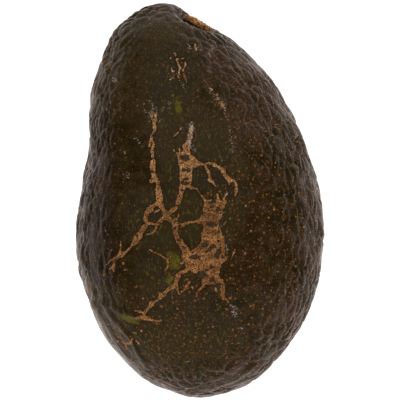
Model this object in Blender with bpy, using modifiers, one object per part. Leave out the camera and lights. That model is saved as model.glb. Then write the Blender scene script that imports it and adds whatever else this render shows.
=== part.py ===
"""A whole avocado lying on its side, with its corky stem button still in the socket.

Metres, +Z up. The fruit lies on a small flat spot at z = 0, centred over the origin,
with its blossom end towards -Y and its neck towards +Y. It is one solid, as it grew.
The stem button is the dry end of the fruit stalk, a separate plug that flicks out.
"""

import math

import bmesh
import bpy
from mathutils import Matrix, Vector

# ---------------------------------------------------------------- driving dimensions
LENGTH = 0.105  # blossom end to the top of the neck
BLOSSOM_END_X = 0.0005  # where the long axis meets the blossom end
NECK_TOP_X = -0.0101  # the neck leans to the left of the belly
NECK_DROOP = 0.0044  # how far the neck hangs below the belly when the fruit has settled
FLAT_SPOT_DEPTH = 0.0004  # flesh pressed flat where the fruit rests

# How full the fruit is on each side of its long axis, at even steps from the blossom
# end to the neck top. Equal numbers all along would make that side half of an ellipsoid.
LEFT_FULLNESS = (
    0.0264, 0.0305, 0.0326, 0.0319, 0.0307, 0.0270, 0.0236, 0.0246, 0.0243, 0.0217, 0.0187
)
RIGHT_FULLNESS = (
    0.0271, 0.0316, 0.0347, 0.0366, 0.0370, 0.0366, 0.0351, 0.0338, 0.0288, 0.0186, 0.0096
)
HEIGHT_FULLNESS = (0.0318, 0.0322, 0.0326, 0.0322, 0.0304, 0.0282, 0.0266, 0.0242, 0.0205)

# The stem joins on the right shoulder of the neck, just above mid-height.
STEM_STATION = math.radians(155.0)  # 0 at the blossom end, 180 at the neck top
STEM_TURN = math.radians(15.0)  # round the long axis, up from the +X side
SOCKET_MOUTH_RADIUS = 0.0049
SOCKET_FLOOR_RADIUS = 0.0042
SOCKET_DEPTH = 0.0020
SEATING_GAP = 0.0003  # between the button and the socket
BUTTON_BASE_RADIUS = 0.0036
BUTTON_FACE_RADIUS = 0.0041
BUTTON_THICKNESS = 0.0021
BUTTON_EDGE_ROUNDING = 0.0005

# ---------------------------------------------------------------- mesh fineness
MERIDIANS = 56
STATIONS = 36
SOCKET_SIDES = 36
CUTTER_REACH = 0.006  # how far a cutter stands clear of the skin
SHARP_ANGLE = math.radians(40.0)  # edges that bend more than this stay crisp

# ---------------------------------------------------------------- colours
SKIN_COLOUR = (0.022, 0.017, 0.008, 1.0)
CORK_COLOUR = (0.250, 0.115, 0.043, 1.0)


def clear_scene():
    for old in list(bpy.data.objects):
        bpy.data.objects.remove(old)


def new_collection(name):
    collection = bpy.data.collections.new(name)
    bpy.context.scene.collection.children.link(collection)
    return collection


def plain_material(name, colour, roughness):
    material = bpy.data.materials.new(name)
    material.use_nodes = True
    shader = material.node_tree.nodes["Principled BSDF"]
    shader.inputs["Base Color"].default_value = colour
    shader.inputs["Roughness"].default_value = roughness
    shader.inputs["Metallic"].default_value = 0.0
    return material


def add_object(name, mesh, collection):
    obj = bpy.data.objects.new(name, mesh)
    collection.objects.link(obj)
    return obj


def between_stations(values, station):
    """A smooth curve through values spaced evenly from station 0 to pi."""
    last = len(values) - 1
    place = min(max(station / math.pi, 0.0), 1.0) * last
    i = min(int(place), last - 1)
    f = place - i
    before = values[max(i - 1, 0)]
    after = values[min(i + 2, last)]
    slope_in = (values[i + 1] - before) / 2
    slope_out = (after - values[i]) / 2
    return (
        values[i] * (2 * f**3 - 3 * f**2 + 1)
        + slope_in * (f**3 - 2 * f**2 + f)
        + values[i + 1] * (3 * f**2 - 2 * f**3)
        + slope_out * (f**3 - f**2)
    )


def skin_point(station, turn):
    """The skin at a station along the fruit and a turn round it, about its mid-length."""
    along = (1 - math.cos(station)) / 2
    ring = math.sin(station)
    left = between_stations(LEFT_FULLNESS, station) * ring
    right = between_stations(RIGHT_FULLNESS, station) * ring
    height = between_stations(HEIGHT_FULLNESS, station) * ring
    axis_x = BLOSSOM_END_X + (NECK_TOP_X - BLOSSOM_END_X) * along
    middle_x = axis_x + (right - left) / 2
    middle_z = -NECK_DROOP * along
    return Vector(
        (
            middle_x + (right + left) / 2 * math.cos(turn),
            LENGTH * (along - 0.5),
            middle_z + height * math.sin(turn),
        )
    )


def skin_normal(station, turn):
    step = 0.01
    along = skin_point(station + step, turn) - skin_point(station - step, turn)
    around = skin_point(station, turn + step) - skin_point(station, turn - step)
    return around.cross(along).normalized() * -1.0


def shape_fruit(collection):
    """A ball whose every point is moved out to the fruit's skin."""
    mesh = bpy.data.meshes.new("fruit_body")
    ball = bmesh.new()
    bmesh.ops.create_uvsphere(
        ball, u_segments=MERIDIANS, v_segments=STATIONS, radius=1.0
    )
    for vertex in ball.verts:
        station = math.acos(min(max(-vertex.co.z, -1.0), 1.0))
        turn = math.atan2(-vertex.co.y, vertex.co.x)
        vertex.co = skin_point(station, turn)
    ball.to_mesh(mesh)
    ball.free()
    return add_object("fruit_body", mesh, collection)


def settle(points):
    """The move that centres the fruit over the origin and presses its flat spot to z = 0."""
    low = Vector([min(p[k] for p in points) for k in range(3)])
    high = Vector([max(p[k] for p in points) for k in range(3)])
    middle = (low + high) / 2
    return Vector((-middle.x, -middle.y, -low.z - FLAT_SPOT_DEPTH))


def stem_frame(shift):
    """Origin on the skin at the stem, with local +Z pointing out of the fruit."""
    place = skin_point(STEM_STATION, STEM_TURN) + shift
    outward = skin_normal(STEM_STATION, STEM_TURN)
    return Matrix.Translation(place) @ outward.to_track_quat("Z", "Y").to_matrix().to_4x4()


def turned_plug(name, low, high, low_radius, high_radius, collection):
    """A tapered round plug between two heights on its own axis."""
    mesh = bpy.data.meshes.new(name)
    plug = bmesh.new()
    bmesh.ops.create_cone(
        plug,
        cap_ends=True,
        segments=SOCKET_SIDES,
        radius1=low_radius,
        radius2=high_radius,
        depth=high - low,
        matrix=Matrix.Translation((0, 0, (low + high) / 2)),
    )
    plug.to_mesh(mesh)
    plug.free()
    return add_object(name, mesh, collection)


def make_cutter(obj):
    obj.hide_render = True
    obj.display_type = "WIRE"


def cut(obj, cutter, name):
    boolean = obj.modifiers.new(name, "BOOLEAN")
    boolean.operation = "DIFFERENCE"
    boolean.solver = "EXACT"
    boolean.object = cutter


def cut_socket(fruit, frame, cutters):
    """The shallow round pit that the stem button sits in."""
    widening = (SOCKET_MOUTH_RADIUS - SOCKET_FLOOR_RADIUS) / SOCKET_DEPTH
    pit = turned_plug(
        "socket_cutter",
        -SOCKET_DEPTH,
        CUTTER_REACH,
        SOCKET_FLOOR_RADIUS,
        SOCKET_MOUTH_RADIUS + widening * CUTTER_REACH,
        cutters,
    )
    pit.matrix_world = frame
    make_cutter(pit)
    cut(fruit, pit, "stem socket")


def cut_flat_spot(fruit, cutters):
    """The small level patch under the belly, in the plane z = 0."""
    mesh = bpy.data.meshes.new("floor_cutter")
    block = bmesh.new()
    bmesh.ops.create_cube(block, size=2 * LENGTH)
    block.to_mesh(mesh)
    block.free()
    floor = add_object("floor_cutter", mesh, cutters)
    floor.location = (0, 0, -LENGTH)
    make_cutter(floor)
    cut(fruit, floor, "flat spot")


def build_fruit_body(fruit, cutters, shift, frame, material):
    fruit.data.transform(Matrix.Translation(shift))
    fruit.data.materials.append(material)
    cut_socket(fruit, frame, cutters)
    cut_flat_spot(fruit, cutters)
    fruit.data.shade_smooth()
    fruit.data.set_sharp_from_angle(angle=SHARP_ANGLE)


def build_stem_button(parts, frame, material):
    """The dry cork plug: a thick disc that widens a little towards its outer face."""
    base = SEATING_GAP - SOCKET_DEPTH
    button = turned_plug(
        "stem_button",
        base,
        base + BUTTON_THICKNESS,
        BUTTON_BASE_RADIUS,
        BUTTON_FACE_RADIUS,
        parts,
    )
    button.matrix_world = frame
    rounding = button.modifiers.new("rounded rim", "BEVEL")
    rounding.width = BUTTON_EDGE_ROUNDING
    rounding.segments = 2
    rounding.limit_method = "ANGLE"
    button.data.materials.append(material)
    button.data.shade_smooth()
    button.data.set_sharp_from_angle(angle=SHARP_ANGLE)


def main():
    clear_scene()
    parts = new_collection("avocado")
    cutters = new_collection("cutters")
    skin = plain_material("avocado_skin", SKIN_COLOUR, 0.45)
    cork = plain_material("dry_cork", CORK_COLOUR, 0.9)
    fruit = shape_fruit(parts)
    shift = settle([vertex.co for vertex in fruit.data.vertices])
    frame = stem_frame(shift)
    build_fruit_body(fruit, cutters, shift, frame, skin)
    build_stem_button(parts, frame, cork)


main()
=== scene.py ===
"""A whole rough-skinned avocado lying on its side on a backlit table.

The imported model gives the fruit's true shape and place. Here it gets its looks: a ridged
skin with pores, a raised net of corky scar tissue, and the crumbly dry stem button.
"""

import math

import bmesh
import bpy
import numpy as np
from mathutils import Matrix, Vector, noise
from mathutils.bvhtree import BVHTree
from mathutils.kdtree import KDTree


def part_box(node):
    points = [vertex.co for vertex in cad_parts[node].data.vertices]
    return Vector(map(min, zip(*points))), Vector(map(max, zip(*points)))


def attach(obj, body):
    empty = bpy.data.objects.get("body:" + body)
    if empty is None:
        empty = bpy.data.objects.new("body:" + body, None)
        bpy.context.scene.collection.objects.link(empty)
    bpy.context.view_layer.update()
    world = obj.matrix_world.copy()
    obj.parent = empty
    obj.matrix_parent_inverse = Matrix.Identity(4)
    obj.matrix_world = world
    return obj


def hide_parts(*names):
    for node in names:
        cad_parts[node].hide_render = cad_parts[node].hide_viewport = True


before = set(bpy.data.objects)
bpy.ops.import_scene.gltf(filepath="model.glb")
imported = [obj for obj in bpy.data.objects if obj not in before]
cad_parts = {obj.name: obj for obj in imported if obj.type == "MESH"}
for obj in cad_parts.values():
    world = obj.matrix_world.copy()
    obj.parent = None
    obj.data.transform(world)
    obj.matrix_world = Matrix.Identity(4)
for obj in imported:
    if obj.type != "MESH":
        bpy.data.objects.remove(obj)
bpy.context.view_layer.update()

MM = 0.001
FAR = 1e3
TINY = 1e-6

# Sizes are in millimetres, +X to the fruit's right and +Y to its stem. A pair is a span:
# what it steers starts at the first value and is complete at the second.

# ---------------------------------------------------------------- the skin's mesh
SKIN_CELLS = 128  # squares along each edge of the ball that the skin starts from
TOP_REACH = 1.75  # the squares are finer on the top, within this angle in radians
TOP_PULL = 0.3
STEM_REACH = 0.4  # and finer still round the stem
STEM_PULL = 0.45

# ---------------------------------------------------------------- pebbles and creases
PEBBLE_SEED = 11
PEBBLE_WIDTH = 2.5
PEBBLE_STRETCH = 2.1  # how much longer a pebble is than it is wide
PEBBLE_ROOM = 0.65  # how near to each other two pebbles may lie, in widths
PEBBLE_TRIES = 4600
PEBBLES_NEAR = 18  # how many pebbles round a point may be the nearest
PEBBLE_HEIGHT = 0.3
FINER = 0.3  # pebbles are narrower by this share at the neck's tip and on the left
FINER_UP = (36.0, 50.0)
FINER_LEFT = (-25.0, -10.0)
SIZE_SPREAD = 0.25  # how much wider or narrower than the usual a pebble may be
SIZE_SEED = 5
LENGTHWISE_PULL = 1.2  # how strongly the pebbles on the top lie along the fruit
LIE_SWAY = 0.7  # how far their lie wanders, in radians
LIE_SWAY_WIDTH = 12.0
CREASE_DEPTH = 0.4
CREASE_REACH = 0.24  # how far a crease's flank runs up its pebble, in pebble widths
BEND_SEED = 7  # vector noise follows the clock unless it is given a seed
BEND_WIDTH = 5.0  # the creases wander in bends of this size, and by this far
BEND = 1.3
KINK_WIDTH = 2.2
KINK = 0.5
SHINGLE = 0.22  # on the flanks each pebble's lower end stands proud by this slope
SHINGLE_REACH = 2.0
SHINGLE_LEFT = (-20.0, 0.0)
RIGHT_SHINGLE = 0.75  # away from the left the slope is this much of it
FLANK_TILT = (0.5, 0.9)  # flanks face up less than this
FLANK_TURN = (-0.4, 0.1)  # and down less than this
SWELL_WIDTH = 11.0
SWELL_HEIGHT = 0.12
SWELL_STRETCH = (1.0, 0.6, 1.0)  # swells are longer than they are wide
RIM_STRETCH = 3.0  # striations round the rim are this much longer than they are wide
UNDERSIDE_SHIFT = (6.0, 11.0)  # keeps the underside's pattern from mirroring the top's
UNDERSIDE_TURN = (-0.7, 0.7)

# ---------------------------------------------------------------- how deep the creases run
SMOOTH_TILT = (0.64, 0.97)  # they fade where the skin faces up this much
SMOOTH_SHARE = 0.85
LEFT_SIDE = (-15.0, 5.0)
LEFT_TILT = 0.22  # the left counts as facing up by this much more
LEFT_DEEPER = 0.1
RIGHT_SIDE = (12.0, 25.0)
RIGHT_DEEPER = 0.14
NECK = (36.0, 48.0)
NECK_DEEPER = 0.15
LOW_LEFT = (18.0, 26.0)  # measured to the left, along a line that leans by LOW_LEFT_LEAN
LOW_LEFT_LEAN = 0.35
LOW_LEFT_MIDDLE = 20.0
LOW_END = (22.0, 30.0)
LOW_LEFT_SMOOTHER = 0.7
PATCH_WIDTH = 6.0  # in patches this wide the creases are deeper or nearly gone
PATCH_USUAL, PATCH_SPREAD, PATCH_LEAST = 0.85, 1.1, 0.2

# ---------------------------------------------------------------- the stem's socket
SOCKET_RADIUS = 5.1  # of the model's own socket, closed over before the skin is wrapped
SOCKET_DEPTH = 10.0  # it counts down to here, below the middle of the button
SOCKET_MOUTH = 4.7  # the skin dips round the stem and drops into the socket here
SOCKET_RIM = (-0.35, 0.2)
SOCKET_DROP = 1.7
SOCKET_DIP = 2.8
DIP_REACH = 9.6
DIP_TURN = (-0.1, 0.9)  # the dip is on the stem's upper side
DIP_BELOW = 0.05
LIP_RADIUS = 5.7
LIP_HEIGHT = 0.3
LIP_WIDTH = 0.55
PUCKERS = 23  # radial wrinkles round the lip
PUCKER_SWAY = 1.5
PUCKER_SHARE = 0.3
RAY_HEIGHT = 0.12  # and out from it
RAYS_RISE = (5.5, 7.0)
RAYS_FADE = (7.0, 12.0)
PEBBLES_START = 3.0  # how far out from the lip the pebbles reach full height

# ---------------------------------------------------------------- the dry end of the stalk
PLUG_RADIUS = 3.95
PLUG_THICKNESS = 4.5
PLUG_FACE = 0.35  # where the plug's face lies along the stem's axis
PLUG_CAP = 1.4  # below its cap the plug is narrower
PLUG_CAP_EDGE = 0.25
PLUG_WAIST = 0.5
PLUG_ROUNDING = 0.5
PLUG_CELL = 0.12
CRUMB = 0.7  # the plug's crumbs, and smaller ones on them
CRUMB_DETAIL = 0.8
CRUMB_HEIGHT = 0.22
DENT_WIDTH = 1.6
DENT_DEPTH = 0.4
PLUG_SWELL_WIDTH = 2.4
PLUG_SWELL = 0.35
STAIN_WIDTH = 2.0  # the dry face's edge wanders in stains of this size, and by this far
STAIN = 0.5
PLUG_BLEACHED = (-0.9, 0.2)  # the face is the driest, its sides are browner
PLUG_DRYNESS = (0.35, 0.65)  # at the least, and what the face adds

# ---------------------------------------------------------------- the scar's crust
EYE = (0.0, -0.27, 428.0)  # the scar is laid out as it is seen from here, straight above
LAYOUT_HEIGHT = 30.0  # and its coordinates, counted from the eye, are true at this height
CRUST_LOW, CRUST_HIGH = (-26.0, -41.0), (11.0, 47.0)  # the scar's corners in the layout
CRUST_CELL = 0.16
CRUST_HEIGHT = 0.2
CRUST_LIFT = 0.01
CRUST_DEPTH = 0.35
CRUST_EDGE = 0.4  # how far in from its edge the crust reaches full height
GRAIN_TOP = 1.3  # a grain's middle stands this many crust heights high
GRAIN_GAP = 1.6  # and falls off by this much for each crumb's width out from it
GRAIN_LUMP = 0.5
GRAIN_LUMP_WIDTH = 2.0
CRUST_DRIER = (-8.0, 12.0)  # the crust is drier and paler towards the neck
CRUST_STEP = 0.08  # the outline's slope is measured over this distance
CRUST_SLOPE_LEAST = 0.3
STRAND_BLEND = 0.08  # rounding where two strands meet
RAGGED = 0.2  # how far the crust's edge wanders
CRUMB_WIDTH = 0.42
ISLAND_SPREAD = 0.13  # islands of skin are this much wider than they are laid out

# ---------------------------------------------------------------- where the reliefs apply
# Spans of how far the skin faces up: 1 is level, 0 is upright, and below 0 is underneath.
TOPSIDE = (0.05, 0.35)  # folds and knots
BULGE_TILT = (-0.7, 0.0)
FULL_TILT = (-0.3, 0.2)
STEEP_TILT = (0.35, 0.95)  # from steep to level, where the fine striations end
BLOOM_ABOVE = (-0.6, 0.0)
BLOOM_BELOW = (-0.6, -0.05)  # of how far it faces down
BLOOM_SMOOTH = 0.8  # bloomed skin has this much less of the striations
LEFT_SMOOTH = 0.3

# ---------------------------------------------------------------- where the colours lie
# Spans across the fruit or along it, in the layout's millimetres.
GAP_SPAN = (-2.0, 3.0)  # distances to a mark are kept only so far in and out
BELT_LOW = (-27.0, -19.0)  # the dark middle starts here
BELT_HIGH = (3.0, 15.0)  # and ends here, higher up on the left and on the right
BELT_LEFT = (-20.0, -10.0)
BELT_LEFT_HIGHER = 15.0
BELT_RIGHT = (8.0, 15.0)
BELT_RIGHT_HIGHER = 6.0
# Painted shade: the ground colour is darkened towards the left, and further at the left rim.
LEFTNESS = (-20.0, -5.0)
LEFT_RIM_SHADE = (-26.0, -18.0)
PORES_FEW = 0.4  # pores are this dense on the left, and get denser along a leaning line
PORES_RIGHT = (-18.0, 12.0)
PORES_LEAN = 0.25
NET_LEFT, NET_RIGHT = (-20.0, -16.0), (5.0, 9.0)  # among the scar's strands they are fewer
NET_LOW, NET_HIGH = (-20.0, -12.0), (18.0, 26.0)
NET_FEWER = 0.5

# ---------------------------------------------------------------- the studio
TABLE_SIZE = 3  # metres
CAMERA_LENS = 135
CAMERA_SENSOR = 36
# The light from all round, as (height, colour) from level to straight above.
SKY = ((0.0, "#a09995"), (0.35, "#bcb3ad"), (0.7, "#cbc2bc"), (1.0, "#bcb3ac"))

# ---------------------------------------------------------------- the scar, as it lies on top
# A strand is a run of (x, y, width) in millimetres: x across the fruit, y towards the stem.
STRANDS = (
    # the left strand, from the neck down to where the strands cross
    ((-12.7, 23.5, 0.5), (-12.2, 22.4, 1.5), (-12.0, 21.1, 1.4), (-12.2, 20.1, 0.8),
     (-12.0, 18.6, 0.8), (-12.7, 17.3, 0.55), (-13.1, 15.9, 0.65), (-13.3, 14.4, 0.5)),
    ((-12.7, 16.2, 0.4), (-12.3, 14.7, 0.65), (-12.7, 13.2, 0.8), (-12.6, 11.6, 0.8)),
    ((-12.5, 10.3, 1.2), (-12.6, 8.8, 1.5), (-12.4, 7.0, 0.9), (-12.2, 5.8, 1.7),
     (-11.0, 4.6, 0.85), (-11.0, 2.8, 1.5), (-10.8, 1.1, 1.7), (-10.7, -0.5, 1.7),
     (-10.1, -2.0, 1.2), (-9.3, -3.2, 1.4), (-8.95, -4.2, 1.7)),
    ((-12.2, 5.2, 0.8), (-12.9, 5.0, 1.0)),
    # the lower left branch and its frayed end
    ((-10.9, -0.6, 0.8), (-11.5, -1.0, 0.85), (-12.8, -1.75, 1.0), (-13.7, -2.5, 1.0),
     (-14.1, -3.8, 1.5), (-14.5, -5.2, 1.0), (-14.1, -6.2, 0.85), (-15.0, -7.6, 1.5),
     (-15.6, -8.6, 1.2), (-16.5, -9.65, 1.6), (-17.45, -11.35, 1.2), (-18.3, -12.4, 0.4),
     (-19.7, -13.9, 0.45), (-21.0, -14.6, 1.4), (-22.4, -15.2, 0.4), (-23.6, -15.9, 0.3),
     (-24.8, -17.1, 0.25)),
    ((-21.1, -14.0, 0.7), (-21.1, -13.05, 0.5), (-21.0, -11.0, 0.25)),
    ((-21.6, -15.0, 0.8), (-22.8, -16.3, 0.4), (-22.9, -17.5, 0.9), (-23.9, -18.4, 0.4)),
    ((-22.9, -17.5, 0.9), (-22.9, -19.0, 0.3)),
    ((-12.9, -1.9, 0.7), (-12.9, -3.0, 0.8)),
    ((-12.0, -3.3, 0.4), (-10.9, -2.7, 0.4)),
    ((-8.95, -4.2, 1.2), (-10.0, -4.9, 0.85), (-10.8, -5.9, 0.85), (-11.5, -6.6, 0.6),
     (-11.7, -7.4, 0.45), (-12.4, -8.6, 0.4), (-13.4, -9.1, 0.35), (-14.4, -9.2, 0.4),
     (-15.2, -9.5, 0.4), (-15.9, -10.2, 0.5), (-16.6, -11.2, 0.4)),
    ((-11.5, -6.5, 0.65), (-13.9, -6.2, 0.65)),
    # from the crossing up to the upper patch
    ((-8.95, -4.2, 1.2), (-7.9, -3.4, 1.0), (-7.2, -2.7, 1.3), (-6.3, -2.1, 1.0),
     (-5.7, -0.6, 1.2), (-5.5, 0.5, 1.3), (-5.2, 1.3, 1.3), (-5.0, 1.9, 1.0),
     (-4.7, 3.1, 1.8), (-3.9, 3.6, 0.7), (-3.2, 3.8, 0.85)),
    ((-4.9, 2.6, 0.9), (-5.0, 4.6, 0.6), (-5.0, 6.4, 0.6)),
    ((-3.2, 3.8, 0.85), (-2.6, 4.8, 0.7), (-2.5, 6.4, 0.8)),
    ((-0.9, 9.4, 1.2), (-1.3, 9.7, 2.2), (-2.1, 10.9, 1.4)),
    ((-5.3, 9.4, 0.9), (-5.5, 10.6, 0.85), (-5.7, 11.95, 0.8), (-4.35, 12.55, 0.7),
     (-3.0, 12.6, 1.0), (-2.65, 11.6, 0.7), (-2.2, 10.6, 0.9)),
    ((-5.7, 12.1, 0.6), (-7.0, 13.2, 0.2)),
    ((-5.3, 12.3, 0.5), (-5.5, 13.65, 0.2)),
    ((-3.5, 12.9, 1.7), (-3.5, 14.0, 2.2), (-3.15, 15.35, 1.0), (-2.8, 16.7, 1.7),
     (-2.55, 17.9, 1.5), (-2.1, 18.9, 1.0), (-2.1, 19.85, 0.3)),
    ((-4.7, 19.3, 0.3), (-5.3, 18.7, 0.4)),
    ((-5.7, 18.1, 0.3), (-6.9, 16.9, 0.35)),
    # the right arc with its forked end
    ((-0.8, 9.6, 1.4), (0.05, 9.6, 1.0), (0.7, 9.6, 0.5)),
    ((1.7, 9.7, 0.5), (2.1, 9.7, 0.75), (3.3, 9.6, 0.8), (4.8, 8.9, 0.9), (5.7, 8.0, 1.0),
     (6.5, 6.85, 1.2), (7.4, 5.7, 1.15), (8.15, 5.15, 1.0), (8.9, 5.15, 0.7),
     (9.6, 4.0, 0.8), (9.7, 2.4, 0.65), (9.25, 0.9, 0.3)),
    ((7.6, 5.3, 0.6), (7.9, 3.8, 0.35)),
    ((5.7, 8.1, 0.5), (6.6, 8.9, 0.25)),
    ((6.2, 7.5, 0.5), (6.9, 8.1, 0.25)),
    ((1.3, 9.3, 0.5), (1.5, 8.7, 0.6), (2.1, 7.7, 0.75), (2.6, 6.3, 0.75),
     (2.6, 5.3, 1.0), (3.55, 4.5, 0.65), (4.15, 3.6, 0.35)),
    # the thin link down to the big patch
    ((-3.2, 3.8, 0.85), (-2.0, 3.2, 0.8), (-1.1, 3.1, 0.4), (-0.1, 1.9, 0.4),
     (1.25, -0.1, 0.5), (2.0, -0.9, 1.0)),
    # horns and legs of the big patch
    ((1.6, -2.0, 1.6), (2.05, -0.9, 1.7), (2.9, 0.0, 0.4)),
    ((4.6, -1.4, 1.0), (4.9, 0.15, 0.8), (4.5, 1.85, 0.25)),
    ((5.8, -1.7, 1.4), (6.5, -0.5, 1.0), (6.3, 0.5, 0.6), (7.15, 1.7, 0.3)),
    ((3.4, -1.1, 0.7), (4.4, -0.9, 0.8), (5.6, -0.4, 0.7)),
    ((0.9, -21.0, 1.2), (0.9, -22.2, 0.8), (1.0, -23.1, 0.4)),
    ((3.3, -21.5, 1.3), (3.7, -22.6, 0.8), (4.0, -23.5, 0.6), (4.7, -24.8, 0.5)),
    ((5.6, -21.5, 1.4), (6.0, -22.9, 1.2), (6.0, -24.5, 1.2), (6.0, -25.9, 1.0),
     (6.9, -26.3, 0.5), (7.5, -27.15, 0.3)),
    ((6.4, -6.5, 0.6), (6.9, -5.6, 0.25)),
    ((1.0, -22.6, 0.6), (0.2, -23.4, 0.5), (-0.6, -24.4, 0.5), (-0.9, -25.6, 0.45)),
    ((9.3, -13.2, 0.45), (8.8, -14.3, 0.5), (8.5, -15.0, 0.4)),
    # links from the crossing to the big patch, and the ribbon down its left side
    ((1.0, -5.5, 1.8), (0.0, -5.6, 1.5), (-1.0, -5.8, 0.5), (-2.4, -5.7, 0.5),
     (-3.7, -6.3, 0.85), (-4.9, -6.8, 1.1), (-5.8, -6.9, 1.0)),
    ((-8.95, -4.2, 1.5), (-8.0, -5.4, 1.0), (-6.8, -5.7, 1.6), (-6.6, -7.0, 1.6),
     (-6.5, -9.0, 1.4), (-6.1, -10.0, 1.1), (-5.3, -11.1, 1.7), (-4.6, -12.2, 1.6),
     (-3.7, -13.4, 2.0), (-3.9, -15.1, 1.9), (-3.2, -16.9, 1.3), (-3.0, -17.9, 1.3)),
    ((-6.4, -5.5, 1.0), (-5.6, -4.1, 0.3)),
    ((-3.9, -16.0, 0.7), (-5.0, -16.8, 0.6)),
    # the lower left leg and its frayed end
    ((-2.6, -17.8, 1.4), (-3.1, -18.3, 1.0), (-4.4, -19.1, 1.0), (-5.3, -19.3, 0.9),
     (-6.0, -20.4, 1.4), (-6.3, -21.6, 1.0), (-6.6, -22.5, 1.0), (-7.5, -23.1, 1.3),
     (-8.7, -24.0, 0.8), (-9.9, -25.3, 1.3), (-11.5, -26.7, 0.5), (-12.7, -27.35, 1.2),
     (-13.6, -28.6, 0.9), (-14.7, -29.9, 0.7), (-14.9, -30.6, 0.6)),
    ((-6.2, -22.6, 0.8), (-5.9, -24.1, 0.6), (-5.5, -24.9, 0.4)),
    ((-4.9, -24.5, 0.5), (-3.8, -23.2, 0.7), (-2.65, -21.6, 0.5)),
    ((-10.2, -25.5, 0.6), (-11.0, -24.5, 0.4)),
    ((-17.2, -29.4, 0.4), (-16.4, -29.5, 0.7), (-15.1, -30.0, 0.5)),
    ((-16.8, -31.3, 0.9), (-15.7, -31.0, 0.8), (-14.5, -31.3, 1.2), (-12.7, -31.8, 0.7),
     (-10.2, -32.1, 0.45)),
    # small scraps below, left and on the neck
    ((-20.6, -37.55, 0.6), (-19.6, -38.2, 0.6), (-18.4, -37.95, 0.6), (-17.8, -36.7, 0.45)),
    ((-19.8, -38.4, 0.4), (-19.2, -40.0, 0.3)),
    ((-17.0, -37.3, 0.4), (-16.15, -38.2, 0.4)),
    ((-13.3, -13.2, 0.4), (-12.2, -13.8, 0.45), (-11.3, -14.2, 0.4)),
    ((-11.5, -14.1, 0.25), (-10.1, -14.9, 0.35), (-8.8, -15.8, 0.5), (-8.45, -16.45, 0.6),
     (-8.6, -18.0, 0.5), (-9.6, -19.0, 0.3)),
    ((-8.6, -15.8, 0.4), (-7.6, -14.75, 0.3)),
    ((-6.7, 38.8, 0.4), (-6.5, 38.3, 0.3)),
    ((-6.3, 37.3, 0.25), (-5.7, 37.45, 0.25)),
    ((-4.9, 37.5, 0.25), (-4.4, 37.55, 0.3)),
    ((-4.0, 37.0, 0.3), (-3.85, 36.0, 0.45), (-4.1, 35.2, 0.4)),
    ((-4.3, 34.8, 0.2), (-4.6, 34.4, 0.25)),
    ((-6.2, 36.9, 0.3), (-5.7, 36.0, 0.4), (-5.35, 35.1, 0.5)),
    ((-5.5, 34.5, 0.4), (-5.7, 33.7, 0.65), (-5.4, 33.2, 0.4)),
    ((-4.3, 33.4, 0.4), (-3.8, 32.0, 0.5), (-3.5, 31.1, 0.25)),
    ((-7.5, 35.2, 0.25), (-7.5, 34.3, 0.3), (-6.8, 34.1, 0.3)),
    ((-8.1, 32.0, 0.45), (-6.9, 32.5, 0.5)),
    ((-5.8, 33.0, 0.3), (-5.5, 31.7, 0.2)),
)
# A patch is a stack of (y, left edge, right edge).
PATCHES = (
    ((3.4, -5.2, -3.5), (6.2, -5.3, -2.05), (8.0, -5.3, -2.1), (9.4, -5.45, -0.8),
     (10.4, -5.5, -1.6)),
    ((-22.4, 0.5, 5.9), (-21.95, 0.85, 6.1), (-20.8, 0.35, 5.3), (-19.6, -1.2, 5.1),
     (-18.4, -3.2, 5.2), (-17.0, -3.7, 5.8), (-15.8, -4.2, 7.3), (-14.5, -4.75, 6.5),
     (-13.3, -2.0, 6.7), (-12.3, -0.9, 6.6), (-11.1, 0.3, 6.5), (-10.0, 0.3, 6.4),
     (-8.35, 0.5, 5.6), (-7.5, 0.9, 5.2), (-6.5, 0.9, 4.9), (-5.6, -0.8, 5.1),
     (-4.95, -0.3, 5.5), (-3.75, 0.8, 6.0), (-1.9, 0.8, 6.3), (-1.2, 1.2, 6.2)),
)
# Skin shows through the crust in islands of (x, y, width, height, tilt in degrees).
ISLANDS = (
    (-4.1, 4.4, 1.6, 0.6, 5), (-4.4, 8.0, 0.95, 0.9, 0), (-3.0, 8.0, 0.95, 0.9, 0),
    (-4.2, 11.3, 2.0, 1.1, 5), (-3.75, 5.6, 1.3, 0.55, 0), (3.3, -1.8, 0.9, 0.8, 0),
    (4.85, -2.5, 1.1, 1.1, 0), (3.1, -6.5, 2.6, 1.2, -4), (1.3, -11.9, 2.1, 1.0, 20),
    (2.8, -12.9, 2.5, 0.8, 45), (4.85, -13.9, 2.7, 1.1, 65), (-1.35, -15.15, 2.1, 1.1, -6),
    (0.5, -19.7, 2.3, 1.5, -10), (6.05, -15.2, 0.7, 0.7, 0), (3.2, -21.2, 1.1, 1.0, 0),
    (5.1, -22.5, 0.84, 0.84, 0), (4.9, -24.1, 0.5, 1.4, 10), (3.1, -17.7, 0.5, 0.5, 0),
    (1.6, -18.6, 0.5, 0.5, 0), (4.85, -8.3, 0.5, 0.5, 0), (-1.6, -13.9, 0.5, 0.4, 0),
    (-12.7, 7.5, 0.6, 0.6, 0), (-16.7, -9.4, 0.6, 0.5, 0), (-5.8, -1.4, 0.7, 0.5, 0),
    (-4.9, 2.7, 0.6, 0.6, 0), (-3.15, 16.4, 0.6, 0.6, 0), (-6.45, -5.7, 0.6, 0.5, 0),
    (-5.4, -6.7, 0.6, 0.5, 0), (-6.7, -7.5, 0.6, 0.5, 0), (-4.3, -12.6, 0.6, 0.5, 0),
    (3.4, -23.0, 0.5, 1.2, 0),
)
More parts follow.
